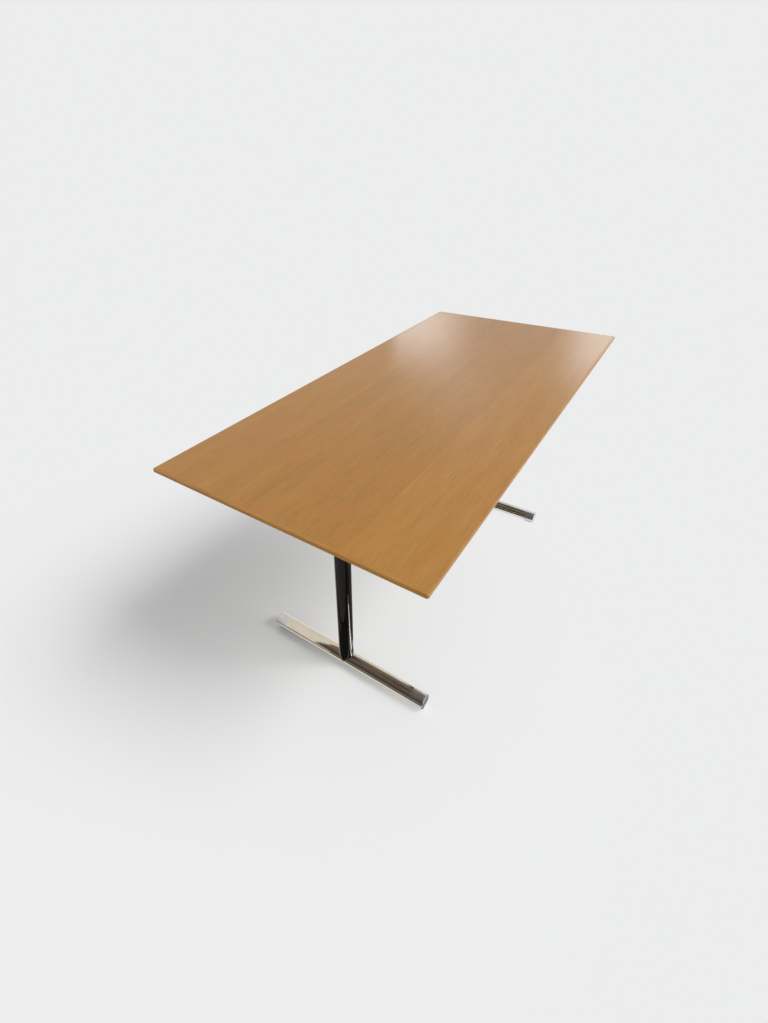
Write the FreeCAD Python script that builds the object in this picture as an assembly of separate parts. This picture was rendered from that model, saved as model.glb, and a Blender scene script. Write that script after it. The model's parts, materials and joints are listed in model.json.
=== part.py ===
import FreeCAD, Part
import math
import os

# Folding desk: a bevelled wooden top on two round-tube legs that fold inwards, one under the other.
# Millimetres. +X runs along the desk, +Y across it and +Z up. The origin is on the floor under the
# middle of the top. Each leg's hinge is drawn in its own frame, with the hinge axis along Y at the
# origin, +X towards the end of the desk and +Z up, and is then set at the near or the far end.

Vector = FreeCAD.Vector

# Desk
desk_length = 1500.0
desk_width = 700.0
desk_height = 740.0
end_overhang = 245.0            # from a hinge axis out to that end of the top

# Top board
top_thickness = 25.0
veneer_thickness = 0.8
lip_height = 9.0
lip_width = 8.0
lip_corner_radius = 5.0
lip_top_radius = 2.5
lip_bottom_radius = 1.5
bevel_run = 32.0

# Leg tubes
tube_diameter = 45.0
tube_wall = 2.0
foot_length = 550.0
saddle_clearance = 0.05
fold_gap = 7.0                  # between the two legs when both are folded

# End caps and glides of the foot
cap_length = 43.0
cap_wall = 3.0
cap_end_wall = 4.0
cap_spigot_length = 20.0
cap_groove_from_end = 4.0
cap_groove_width = 1.2
cap_groove_depth = 0.8
cap_end_radius = 1.5
cap_dish_depth = 0.8
cap_dish_rim = 4.0
glide_drop = 2.5
glide_width = 16.0
glide_margin = 5.0
glide_depth = 8.0
glide_edge_radius = 1.0

# Bolted joint between column and foot
bolt_radius = 5.0
bolt_head_radius = 8.0
bolt_head_height = 8.0
washer_radius = 12.0
washer_crown = 7.5
insert_thickness = 12.0
insert_lift = 1.5
bolt_access_radius = 9.0

# Hinge: cross tube, head and bearings
hinge_drop = 40.0               # from the mounting face down to the hinge axis
cross_tube_radius = 15.0
cross_tube_wall = 2.5
head_skirt = 25.0
head_spigot_length = 45.0
bearing_offset = 165.0          # from the middle of the leg to the middle of a bearing
bearing_width = 32.0
block_radius = 25.0
block_foot_half = 44.0
block_foot_height = 8.0
block_fillet = 4.0
block_foot_radius = 3.0
block_edge_radius = 1.0
bush_wall = 3.0
bush_flange_radius = 21.0
bush_flange_thickness = 2.0
plug_head_radius = 19.0
plug_head_thickness = 4.0
plug_spigot_length = 15.0
plug_edge = 1.5

# Mounting plate and riser
plate_thickness = 4.0
plate_half_depth = 46.0
plate_end_margin = 14.0
plate_corner_radius = 6.0
tongue_length = 92.0
tongue_half_width = 50.0
riser_wall = 3.0
riser_bend = 5.0
riser_flange = 25.0
riser_margin = 6.0

# Lock
disc_radius = 24.0
disc_thickness = 6.0
disc_offset = 37.0              # from the middle of the leg to the middle of a disc
notch_depth = 5.4
notch_play = 0.4
leaf_thickness = 2.0
leaf_half_width = 45.0
leaf_gap = 0.5                  # between the leaf and the rim of the discs
leaf_nose_depth = 5.5
leaf_slot_half_width = 28.0
leaf_slot_length = 36.0
leaf_joggle_run = 12.0
leaf_root_length = 28.0
leaf_root_margin = 4.0
leaf_bend = 2.0

# Release lever
ear_clearance = 1.0
ear_half_length = 10.0
ear_bend = 5.0
lever_pivot_reach = 58.0        # from the hinge axis outwards
lever_pivot_rise = 2.0
pivot_rod_radius = 4.0
lever_thickness = 4.0
lever_side_gap = 3.0            # between the leaf and the side plates of the lever
pusher_reach = 18.0             # from the lever pivot outwards
pusher_radius = 4.0
pusher_gap = 0.5
handle_reach = 92.0             # from the lever pivot outwards
handle_radius = 5.0
grip_radius = 9.0
grip_end_gap = 2.0
grip_waist = 1.5
grip_edge = 2.0
lever_tail_width = 7.0
lever_tail_reach = 15.0         # from the lever pivot inwards
lever_stop_gap = 0.3
lever_crest = 1.0               # side plate above the bar that lifts the leaf
lever_corner_radius = 2.0
lever_crook_radius = 6.0
rod_cap_radius = 6.5
rod_cap_length = 5.0
rod_cap_floor = 1.5

# Fasteners
wood_screw_radius = 2.25
wood_screw_bite = 14.0
wood_head_radius = 4.5
wood_head_height = 3.0
machine_screw_radius = 3.0
machine_head_radius = 5.2
machine_head_height = 4.0
small_screw_radius = 2.5
small_head_radius = 4.5
small_head_height = 3.2
nut_radius = 5.6
nut_height = 5.0
head_chamfer = 1.0
screw_inner_row = 75.0
screw_outer_row = 125.0
screw_reach = 34.0
bearing_screw_reach = 35.0
leaf_screw_offset = 25.0
riser_screw_rows = (50.0, 150.0)

# Rubber rests for the folded near leg
buffer_radius = 12.0
buffer_tip_radius = 9.0
buffer_gap = 0.5
buffer_offset = 150.0

# Fits
running_clearance = 0.05
slip_clearance = 0.1
past = 1.0                      # how far a cutter reaches past the face it cuts

# Heights and radii that follow from the sizes above
leg_spacing = desk_length - 2 * end_overhang
tube_radius = tube_diameter / 2
tube_bore_radius = tube_radius - tube_wall
foot_axis_height = tube_radius + glide_drop
underside_height = desk_height - top_thickness
riser_height = tube_diameter + fold_gap
near_axis_height = underside_height - hinge_drop
far_axis_height = near_axis_height - riser_height
plate_under = hinge_drop - plate_thickness
cross_bore_radius = cross_tube_radius - cross_tube_wall
bush_outer_radius = cross_tube_radius + running_clearance + bush_wall
bearing_outer_face = bearing_offset + bearing_width / 2
bearing_inner_face = bearing_offset - bearing_width / 2
cross_tube_half = bearing_outer_face + bush_flange_thickness + slip_clearance
plate_half_length = bearing_outer_face + plate_end_margin
tongue_end = plate_half_depth + tongue_length
leaf_under = disc_radius + leaf_gap
leaf_root_start = tongue_end - leaf_root_margin - leaf_root_length
lever_inner_face = leaf_half_width + lever_side_gap
lever_outer_face = lever_inner_face + lever_thickness
ear_inner_face = lever_outer_face + ear_clearance
ear_outer_face = ear_inner_face + plate_thickness
pusher_height = leaf_under - pusher_gap - pusher_radius


def box(x0, x1, y0, y1, z0, z1):
    return Part.makeBox(x1 - x0, y1 - y0, z1 - z0, Vector(x0, y0, z0))


def rod_along_y(radius, y0, y1, x=0.0, z=0.0):
    return Part.makeCylinder(radius, y1 - y0, Vector(x, y0, z), Vector(0, 1, 0))


def rod_along_z(radius, z0, z1, x=0.0, y=0.0):
    return Part.makeCylinder(radius, z1 - z0, Vector(x, y, z0), Vector(0, 0, 1))


def turned(points, along):
    """Solid of revolution about Z or Y; each point is (radius, position along the axis)."""
    if along == "z":
        corners = [Vector(r, 0, p) for r, p in points]
        axis = Vector(0, 0, 1)
    else:
        corners = [Vector(r, p, 0) for r, p in points]
        axis = Vector(0, 1, 0)
    outline = Part.makePolygon(corners + corners[:1])
    return Part.Face(outline).revolve(Vector(0, 0, 0), axis, 360)


def in_xz(y):
    return lambda u, v: Vector(u, y, v)


def in_yz(x):
    return lambda u, v: Vector(x, u, v)


def in_xy(z):
    return lambda u, v: Vector(u, v, z)


def rounded_face(corners, to_space):
    """Flat face with straight sides and rounded corners; each corner is (u, v, radius)."""
    count = len(corners)
    spots = []
    for i in range(count):
        here = Vector(corners[i][0], corners[i][1], 0)
        before = Vector(corners[i - 1][0], corners[i - 1][1], 0)
        after = Vector(corners[(i + 1) % count][0], corners[(i + 1) % count][1], 0)
        radius = corners[i][2]
        back = (before - here).normalize()
        ahead = (after - here).normalize()
        half_angle = back.getAngle(ahead) / 2
        reach = radius / math.tan(half_angle)
        middle = here
        if radius > 0:
            bisector = (back + ahead).normalize()
            middle = here + bisector * (radius / math.sin(half_angle) - radius)
        spots.append((here + back * reach, middle, here + ahead * reach))
    edges = []
    for i in range(count):
        start, middle, end = [to_space(p.x, p.y) for p in spots[i]]
        following = to_space(spots[(i + 1) % count][0].x, spots[(i + 1) % count][0].y)
        if start.distanceToPoint(end) > 1e-6:
            edges.append(Part.Arc(start, middle, end).toShape())
        if end.distanceToPoint(following) > 1e-6:
            edges.append(Part.LineSegment(end, following).toShape())
    return Part.Face(Part.Wire(edges))


def strip_corners(path, thickness):
    """Outline of bent sheet along a path of (u, v, bend radius), half its thickness to each side."""
    points = [Vector(u, v, 0) for u, v, bend in path]
    ways = [(points[i + 1] - points[i]).normalize() for i in range(len(points) - 1)]
    left = []
    right = []
    for i in range(len(path)):
        way_in = ways[max(i - 1, 0)]
        way_out = ways[min(i, len(ways) - 1)]
        normal_in = Vector(-way_in.y, way_in.x, 0)
        normal_out = Vector(-way_out.y, way_out.x, 0)
        mitre = (normal_in + normal_out) * (thickness / 2 / (1 + normal_in.dot(normal_out)))
        bend = path[i][2]
        grow = 0.0
        if bend > 0:
            turns_left = way_in.x * way_out.y - way_in.y * way_out.x > 0
            grow = -thickness / 2 if turns_left else thickness / 2
        left.append((points[i].x + mitre.x, points[i].y + mitre.y, bend + grow))
        right.append((points[i].x - mitre.x, points[i].y - mitre.y, bend - grow))
    return left + right[::-1]


def sheet_along_y(path, thickness, half_width):
    face = rounded_face(strip_corners(path, thickness), in_xz(-half_width))
    return face.extrude(Vector(0, 2 * half_width, 0))


def fastener(shank_radius, shank_length, head_radius, head_height):
    """Screw that points up, with the seat of its chamfered head at height 0."""
    return turned([(0, -head_height), (head_radius - head_chamfer, -head_height),
                   (head_radius, head_chamfer - head_height), (head_radius, 0),
                   (shank_radius, 0), (shank_radius, shank_length), (0, shank_length)], "z")


def moved(shape, x, y, z):
    copy = shape.copy()
    copy.translate(Vector(x, y, z))
    return copy


def pattern(shape, spots):
    return [moved(shape, x, y, z) for x, y, z in spots]


def group(solids):
    return solids[0] if len(solids) == 1 else Part.makeCompound(solids)


def at_far_end(shape):
    return moved(shape, leg_spacing / 2, 0, far_axis_height)


def at_near_end(shape):
    copy = shape.copy()
    copy.rotate(Vector(0, 0, 0), Vector(0, 0, 1), 180)
    copy.translate(Vector(-leg_spacing / 2, 0, near_axis_height))
    return copy


# Places of the screws, in the hinge's own frame

def plate_screw_spots(height):
    rows = (-screw_outer_row, -screw_inner_row, screw_inner_row, screw_outer_row)
    return [(x, y, height) for y in rows for x in (-screw_reach, screw_reach)]


def bearing_screw_spots(height):
    return [(x, y, height) for y in (-bearing_offset, bearing_offset)
            for x in (-bearing_screw_reach, bearing_screw_reach)]


def leaf_screw_spots(height):
    reach = leaf_root_start + leaf_root_length / 2
    return [(reach, y, height) for y in (-leaf_screw_offset, leaf_screw_offset)]


def riser_screw_spots(height):
    inner = -plate_half_depth - riser_margin - riser_flange / 2
    outer = tongue_end + riser_margin + riser_flange / 2
    rows = [side * row for row in riser_screw_rows for side in (-1, 1)]
    return [(x, y, height) for y in rows for x in (inner, outer)]


def drill(shape, radius, spots, depth):
    """Round holes upwards from each spot."""
    for x, y, z in spots:
        shape = shape.cut(rod_along_z(radius, z, z + depth, x, y))
    return shape


# Top board

def lippings():
    """Four mitred strips cut from one rounded frame."""
    half_length = desk_length / 2
    half_width = desk_width / 2
    bottom = desk_height - lip_height
    r = lip_corner_radius
    outline = rounded_face([(-half_length, -half_width, r), (half_length, -half_width, r),
                            (half_length, half_width, r), (-half_length, half_width, r)], in_xy(bottom))
    slab = outline.extrude(Vector(0, 0, lip_height))
    for level, radius in ((desk_height, lip_top_radius), (bottom, lip_bottom_radius)):
        rim = [e for e in slab.Edges
               if abs(e.BoundBox.ZMin - level) < 1e-4 and abs(e.BoundBox.ZMax - level) < 1e-4]
        slab = slab.makeFillet(radius, rim)
    inner_x = half_length - lip_width
    inner_y = half_width - lip_width
    frame = slab.cut(box(-inner_x, inner_x, -inner_y, inner_y, bottom - past, desk_height + past))
    out_x = half_length + past
    out_y = half_width + past
    ridge = out_x - out_y
    wedges = {"lipping_front": [(-out_x, -out_y), (out_x, -out_y), (ridge, 0), (-ridge, 0)],
              "lipping_rear": [(out_x, out_y), (-out_x, out_y), (-ridge, 0), (ridge, 0)],
              "lipping_near_end": [(-out_x, out_y), (-out_x, -out_y), (-ridge, 0)],
              "lipping_far_end": [(out_x, -out_y), (out_x, out_y), (ridge, 0)]}
    strips = {}
    for name, points in wedges.items():
        wedge = rounded_face([(x, y, 0) for x, y in points], in_xy(bottom - past))
        strips[name] = frame.common(wedge.extrude(Vector(0, 0, lip_height + 2 * past))).Solids[0]
    return strips


def top_board():
    """Core with a bevelled underside between an upper and a lower veneer."""
    half_x = desk_length / 2 - lip_width
    half_y = desk_width / 2 - lip_width
    flat_x = half_x - bevel_run
    flat_y = half_y - bevel_run
    bevel_top = desk_height - lip_height
    core_top = desk_height - veneer_thickness
    core_bottom = underside_height + veneer_thickness

    def rectangle(x, y, z):
        corners = [Vector(-x, -y, z), Vector(x, -y, z), Vector(x, y, z), Vector(-x, y, z)]
        return Part.makePolygon(corners + corners[:1])

    bevelled = Part.makeLoft([rectangle(flat_x, flat_y, core_bottom), rectangle(half_x, half_y, bevel_top)],
                             True, True)
    core = bevelled.fuse(box(-half_x, half_x, -half_y, half_y, bevel_top, core_top)).removeSplitter()
    backing = box(-flat_x, flat_x, -flat_y, flat_y, underside_height, core_bottom)
    facing = box(-half_x, half_x, -half_y, half_y, core_top, desk_height)
    pilot = wood_screw_radius + slip_clearance
    holes = [rod_along_z(pilot, hinge_drop, hinge_drop + wood_screw_bite + slip_clearance, x, y)
             for x, y, z in plate_screw_spots(0)]
    holes = [at_near_end(hole) for hole in holes]
    far_holes = [rod_along_z(pilot, 0, wood_screw_bite + slip_clearance, x, y)
                 for x, y, z in riser_screw_spots(0)]
    holes += [moved(hole, leg_spacing / 2, 0, underside_height) for hole in far_holes]
    cutter = Part.makeCompound(holes)
    return {"top_core": core.cut(cutter), "underside_veneer": backing.cut(cutter), "top_veneer": facing}


def rest_buffers():
    """Rubber buttons under the top that the folded near foot lies against."""
    folded_foot_x = -leg_spacing / 2 + near_axis_height - foot_axis_height
    height = hinge_drop - tube_radius - buffer_gap
    button = turned([(0, -height), (buffer_tip_radius, -height), (buffer_radius, 0), (0, 0)], "z")
    return group(pattern(button, [(folded_foot_x, side * buffer_offset, underside_height)
                                  for side in (-1, 1)]))


# Hinge hardware, in the hinge's own frame

def hinge_plate():
    """Flat plate with a tongue for the lock, and two ears bent down from the sides of the tongue."""
    x = plate_half_depth
    y = plate_half_length
    t = tongue_half_width
    r = plate_corner_radius
    outline = rounded_face([(-x, -y, r), (x, -y, r), (x, -t, r / 2), (tongue_end, -t, r),
                            (tongue_end, t, r), (x, t, r / 2), (x, y, r), (-x, y, r)],
                           in_xy(plate_under))
    plate = outline.extrude(Vector(0, 0, plate_thickness))
    ear_x = lever_pivot_reach - ear_half_length
    ear_y = (ear_inner_face + ear_outer_face) / 2
    web_z = plate_under + plate_thickness / 2
    low_z = lever_pivot_rise - ear_half_length
    saddle = [(-ear_y, low_z, 0), (-ear_y, web_z, ear_bend), (ear_y, web_z, ear_bend), (ear_y, low_z, 0)]
    ears = rounded_face(strip_corners(saddle, plate_thickness), in_yz(ear_x))
    ears = ears.extrude(Vector(2 * ear_half_length, 0, 0))
    side = rounded_face([(ear_x, low_z, ear_half_length),
                         (ear_x + 2 * ear_half_length, low_z, ear_half_length),
                         (ear_x + 2 * ear_half_length, hinge_drop + past, 0),
                         (ear_x, hinge_drop + past, 0)], in_xz(-ear_outer_face - past))
    ears = ears.common(side.extrude(Vector(0, 2 * (ear_outer_face + past), 0)))
    plate = plate.fuse(ears).removeSplitter()
    plate = plate.cut(rod_along_y(pivot_rod_radius + running_clearance, -ear_outer_face - past,
                                  ear_outer_face + past, lever_pivot_reach, lever_pivot_rise))
    low = plate_under - past
    deep = plate_thickness + 2 * past
    plate = drill(plate, wood_screw_radius + slip_clearance, plate_screw_spots(low), deep)
    plate = drill(plate, machine_screw_radius + slip_clearance, bearing_screw_spots(low), deep)
    return drill(plate, small_screw_radius + slip_clearance, leaf_screw_spots(low), deep)


def riser_channel():
    """Hat channel of bent sheet between the top and the lower, far hinge plate."""
    web = hinge_drop + riser_wall / 2
    flange = hinge_drop + riser_height - riser_wall / 2
    inner = -plate_half_depth - riser_margin
    outer = tongue_end + riser_margin
    path = [(inner - riser_flange, flange, 0), (inner, flange, riser_bend), (inner, web, riser_bend),
            (outer, web, riser_bend), (outer, flange, riser_bend), (outer + riser_flange, flange, 0)]
    channel = sheet_along_y(path, riser_wall, plate_half_length)
    deep = riser_wall + 2 * past
    channel = drill(channel, wood_screw_radius + slip_clearance, plate_screw_spots(hinge_drop - past), deep)
    return drill(channel, wood_screw_radius + slip_clearance,
                 riser_screw_spots(hinge_drop + riser_height - riser_wall - past), deep)


def bearing_blocks():
    r = block_radius
    foot = block_foot_half
    seat = plate_under - block_foot_height
    outline = [(-foot, plate_under, block_edge_radius), (foot, plate_under, block_edge_radius),
               (foot, seat, block_foot_radius), (r, seat, block_fillet), (r, -r, r), (-r, -r, r),
               (-r, seat, block_fillet), (-foot, seat, block_foot_radius)]
    block = rounded_face(outline, in_xz(bearing_inner_face)).extrude(Vector(0, bearing_width, 0))
    block = block.cut(rod_along_y(bush_outer_radius + running_clearance, bearing_inner_face - past,
                                  bearing_outer_face + past))
    spots = [spot for spot in bearing_screw_spots(seat - past) if spot[1] > 0]
    block = drill(block, machine_screw_radius + slip_clearance, spots, block_foot_height + 2 * past)
    return both_sides(block)


def both_sides(shape):
    """The piece and its twin on the other side of the leg."""
    twin = shape.copy()
    twin.rotate(Vector(0, 0, 0), Vector(0, 0, 1), 180)
    return group([shape, twin])


def bearing_bushes():
    bore = cross_tube_radius + running_clearance
    end = bearing_outer_face + bush_flange_thickness
    return both_sides(turned([(bore, bearing_inner_face), (bush_outer_radius, bearing_inner_face),
                              (bush_outer_radius, bearing_outer_face),
                              (bush_flange_radius, bearing_outer_face), (bush_flange_radius, end),
                              (bore, end)], "y"))


def latch_leaf():
    """Joggled leaf spring with two prongs, whose bent tips drop into the lock discs."""
    level = leaf_under + leaf_thickness / 2
    root_level = plate_under - leaf_thickness / 2
    bend = min(leaf_bend, (root_level - level) / 3)
    path = [(leaf_root_start + leaf_root_length, root_level, 0), (leaf_root_start, root_level, bend),
            (leaf_root_start - leaf_joggle_run, level, bend), (0, level, leaf_bend),
            (0, leaf_under - leaf_nose_depth, 0)]
    leaf = sheet_along_y(path, leaf_thickness, leaf_half_width)
    slot = rounded_face([(-leaf_slot_length, -leaf_slot_half_width, 0),
                         (leaf_slot_length, -leaf_slot_half_width, leaf_slot_half_width / 3),
                         (leaf_slot_length, leaf_slot_half_width, leaf_slot_half_width / 3),
                         (-leaf_slot_length, leaf_slot_half_width, 0)], in_xy(0))
    leaf = leaf.cut(slot.extrude(Vector(0, 0, hinge_drop)))
    spots = leaf_screw_spots(plate_under - leaf_thickness - past)
    return drill(leaf, small_screw_radius + slip_clearance, spots, leaf_thickness + 2 * past)


def lever_pivot_rod():
    return rod_along_y(pivot_rod_radius, -ear_outer_face - rod_cap_length + rod_cap_floor + slip_clearance,
                       ear_outer_face + rod_cap_length - rod_cap_floor - slip_clearance,
                       lever_pivot_reach, lever_pivot_rise)


def pivot_rod_caps():
    """Push-on caps that keep the pivot rod in its ears."""
    bore = pivot_rod_radius + running_clearance
    start = ear_outer_face + slip_clearance
    end = ear_outer_face + rod_cap_length
    floor = end - rod_cap_floor
    cap = turned([(bore, start), (rod_cap_radius, start), (rod_cap_radius, floor),
                  (pivot_rod_radius, end), (0, end), (0, floor), (bore, floor)], "y")
    twin = cap.copy()
    twin.rotate(Vector(0, 0, 0), Vector(0, 0, 1), 180)
    return pattern(cap, [(lever_pivot_reach, 0, lever_pivot_rise)]) + \
        pattern(twin, [(lever_pivot_reach, 0, lever_pivot_rise)])


# Release lever, in the hinge's own frame

def release_lever():
    """Two side plates joined by the bar that lifts the leaf and by the handle bar."""
    px = lever_pivot_reach
    pz = lever_pivot_rise
    handle_x = px + handle_reach
    lift_x = px + pusher_reach
    tail_top = plate_under - lever_stop_gap
    tail_x = px - lever_tail_reach
    hub = ear_half_length
    crest = pusher_height + pusher_radius + lever_crest
    corner = lever_corner_radius
    crook = lever_crook_radius
    outline = [(tail_x - lever_tail_width / 2, tail_top, corner),
               (tail_x + lever_tail_width / 2, tail_top, corner),
               (lift_x - 2 * pusher_radius, crest, corner), (lift_x + 2 * pusher_radius, crest, crook),
               (lift_x + 6 * pusher_radius, grip_radius, crook),
               (handle_x + grip_radius, grip_radius, grip_radius),
               (handle_x + grip_radius, -grip_radius, grip_radius), (px - hub, -grip_radius, hub),
               (tail_x - lever_tail_width / 2, pz + hub, crook)]
    side = rounded_face(outline, in_xz(lever_inner_face)).extrude(Vector(0, lever_thickness, 0))
    side = side.cut(rod_along_y(pivot_rod_radius + running_clearance, lever_inner_face - past,
                                lever_outer_face + past, px, pz))
    twin = moved(side, 0, -lever_inner_face - lever_outer_face, 0)
    pusher = rod_along_y(pusher_radius, -lever_inner_face, lever_inner_face, lift_x, pusher_height)
    handle = rod_along_y(handle_radius, -lever_inner_face, lever_inner_face, handle_x, 0)
    return side.multiFuse([twin, pusher, handle]).removeSplitter()


def lever_grip():
    half = lever_inner_face - grip_end_gap
    waist = grip_radius - grip_waist
    edge = grip_edge
    bore = handle_radius + running_clearance
    sleeve = turned([(bore, -half), (grip_radius - edge, -half), (grip_radius, edge - half),
                     (waist, 0), (grip_radius, half - edge), (grip_radius - edge, half), (bore, half)], "y")
    return moved(sleeve, lever_pivot_reach + handle_reach, 0, 0)


# Leg, in the hinge's own frame

def leg_head():
    """Casting that plugs the column and is bored for the cross tube."""
    body = rod_along_z(tube_radius, -head_skirt, tube_radius)
    wide = tube_radius + past
    crown = rod_along_y(tube_radius - slip_clearance, -wide, wide)
    below = box(-wide, wide, -wide, wide, -head_skirt - past, 0)
    body = body.common(below.fuse(crown))
    spigot = rod_along_z(tube_bore_radius - slip_clearance, -head_skirt - head_spigot_length, -head_skirt)
    bore = rod_along_y(cross_tube_radius + running_clearance, -wide, wide)
    return body.fuse(spigot).removeSplitter().cut(bore)


def cross_tube():
    outer = rod_along_y(cross_tube_radius, -cross_tube_half, cross_tube_half)
    return outer.cut(rod_along_y(cross_bore_radius, -cross_tube_half - past, cross_tube_half + past))


def cross_tube_plugs():
    end = cross_tube_half + plug_head_thickness
    spigot = cross_bore_radius - slip_clearance
    return both_sides(turned([(0, cross_tube_half - plug_spigot_length),
                              (spigot, cross_tube_half - plug_spigot_length), (spigot, cross_tube_half),
                              (plug_head_radius, cross_tube_half), (plug_head_radius, end - plug_edge),
                              (plug_head_radius - plug_edge, end), (0, end)], "y"))


def lock_discs():
    """Discs with one notch for the open leg, upwards, and one for the folded leg, inwards."""
    near_face = disc_offset - disc_thickness / 2
    far_face = disc_offset + disc_thickness / 2
    half = leaf_thickness / 2 + notch_play
    floor = disc_radius - notch_depth
    disc = rod_along_y(disc_radius, near_face, far_face)
    disc = disc.cut(rod_along_y(cross_tube_radius + running_clearance, near_face - past, far_face + past))
    disc = disc.cut(box(-half, half, near_face - past, far_face + past, floor, disc_radius + past))
    disc = disc.cut(box(-disc_radius - past, -floor, near_face - past, far_face + past, -half, half))
    return group([disc, moved(disc, 0, -2 * disc_offset, 0)])


def column(axis_height):
    """Round tube from the leg head down to a saddle over the foot."""
    foot_z = foot_axis_height - axis_height
    tube = rod_along_z(tube_radius, foot_z, -head_skirt)
    tube = tube.cut(rod_along_z(tube_bore_radius, foot_z - past, past - head_skirt))
    saddle = rod_along_y(tube_radius + saddle_clearance, -2 * tube_radius, 2 * tube_radius, 0, foot_z)
    return tube.cut(saddle)


def column_insert(axis_height):
    """Threaded disc near the bottom of the column."""
    base = foot_axis_height - axis_height + tube_radius + insert_lift
    disc = rod_along_z(tube_bore_radius - slip_clearance, base, base + insert_thickness)
    return disc.cut(rod_along_z(bolt_radius + slip_clearance, base - past, base + insert_thickness + past))


def foot_tube(axis_height):
    foot_z = foot_axis_height - axis_height
    half = foot_length / 2 - cap_length
    tube = rod_along_y(tube_radius, -half, half, 0, foot_z)
    tube = tube.cut(rod_along_y(tube_bore_radius, -half - past, half + past, 0, foot_z))
    tube = tube.cut(rod_along_z(bolt_radius + slip_clearance, foot_z, foot_z + tube_radius + past))
    return tube.cut(rod_along_z(bolt_access_radius, foot_z - tube_radius - past, foot_z))


def foot_washer(axis_height):
    """Washer with a flat seat for the bolt and a crown that fits the bore of the foot."""
    foot_z = foot_axis_height - axis_height
    seat = foot_z + tube_bore_radius - washer_crown
    plug = rod_along_z(washer_radius, seat, foot_z + tube_radius)
    plug = plug.common(rod_along_y(tube_bore_radius - slip_clearance, -tube_radius, tube_radius, 0, foot_z))
    return plug.cut(rod_along_z(bolt_radius + slip_clearance, seat - past, foot_z + tube_radius))


def foot_bolt(axis_height):
    foot_z = foot_axis_height - axis_height
    seat = foot_z + tube_bore_radius - washer_crown - slip_clearance
    tip = foot_z + tube_radius + insert_lift + insert_thickness
    return moved(fastener(bolt_radius, tip - seat, bolt_head_radius, bolt_head_height), 0, 0, seat)


def glide_recess(length, width, depth, axis_height):
    """Slot in the underside of an end cap, or the glide that fills it."""
    foot_z = foot_axis_height - axis_height
    middle = foot_length / 2 - cap_length / 2
    start = middle - length / 2
    end = middle + length / 2
    corner = width / 3
    outline = rounded_face([(-width / 2, start, corner), (width / 2, start, corner),
                            (width / 2, end, corner), (-width / 2, end, corner)],
                           in_xy(foot_z - foot_axis_height))
    return outline.extrude(Vector(0, 0, depth))


def end_glide(axis_height):
    pad = glide_recess(cap_length - 2 * glide_margin - 2 * slip_clearance, glide_width - 2 * slip_clearance,
                       glide_depth, axis_height)
    low = pad.BoundBox.ZMin
    rim = [e for e in pad.Edges if e.BoundBox.ZMax - low < 1e-4]
    return pad.makeChamfer(glide_edge_radius, rim)


def end_cap(axis_height):
    """Hollow cap, flush with the foot tube, with a spigot, a fine groove and a dished end."""
    joint = foot_length / 2 - cap_length
    end = foot_length / 2
    r = tube_radius
    groove = end - cap_groove_from_end
    groove_radius = r - cap_groove_depth
    spigot = tube_bore_radius - slip_clearance
    hollow = spigot - cap_wall
    floor = end - cap_end_wall
    cap = turned([(hollow, joint - cap_spigot_length), (spigot, joint - cap_spigot_length),
                  (spigot, joint), (r, joint), (r, groove - cap_groove_width),
                  (groove_radius, groove - cap_groove_width), (groove_radius, groove), (r, groove),
                  (r, end - cap_end_radius), (r - cap_end_radius, end), (r - cap_dish_rim, end),
                  (r - cap_dish_rim - cap_dish_depth, end - cap_dish_depth), (0, end - cap_dish_depth),
                  (0, floor), (hollow, floor)], "y")
    cap = moved(cap, 0, 0, foot_axis_height - axis_height)
    return cap.cut(glide_recess(cap_length - 2 * glide_margin, glide_width, glide_depth + slip_clearance,
                                axis_height))


def on_side(shape, side):
    """A piece made at the +Y end of the foot, at that end or at the other."""
    copy = shape.copy()
    if side < 0:
        copy.rotate(Vector(0, 0, 0), Vector(0, 0, 1), 180)
    return copy


def leg_pieces(axis_height, front):
    """All pieces of one leg; front says on which side of the hinge's own frame the desk's front is."""
    cap = end_cap(axis_height)
    glide = end_glide(axis_height)
    return {
        "column": column(axis_height),
        "column_insert": column_insert(axis_height),
        "foot_tube": foot_tube(axis_height),
        "foot_bolt": foot_bolt(axis_height),
        "foot_washer": foot_washer(axis_height),
        "front_end_cap": on_side(cap, front),
        "rear_end_cap": on_side(cap, -front),
        "front_glide": on_side(glide, front),
        "rear_glide": on_side(glide, -front),
        "leg_head": leg_head(),
        "cross_tube": cross_tube(),
        "cross_tube_plugs": cross_tube_plugs(),
        "lock_discs": lock_discs(),
    }


def hinge_pieces():
    return {
        "hinge_plate": hinge_plate(),
        "bearing_blocks": bearing_blocks(),
        "bearing_bushes": bearing_bushes(),
        "latch_leaf": latch_leaf(),
        "lever_pivot_rod": lever_pivot_rod(),
        "release_lever": release_lever(),
        "lever_grip": lever_grip(),
    }


# Fasteners at both ends

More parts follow.
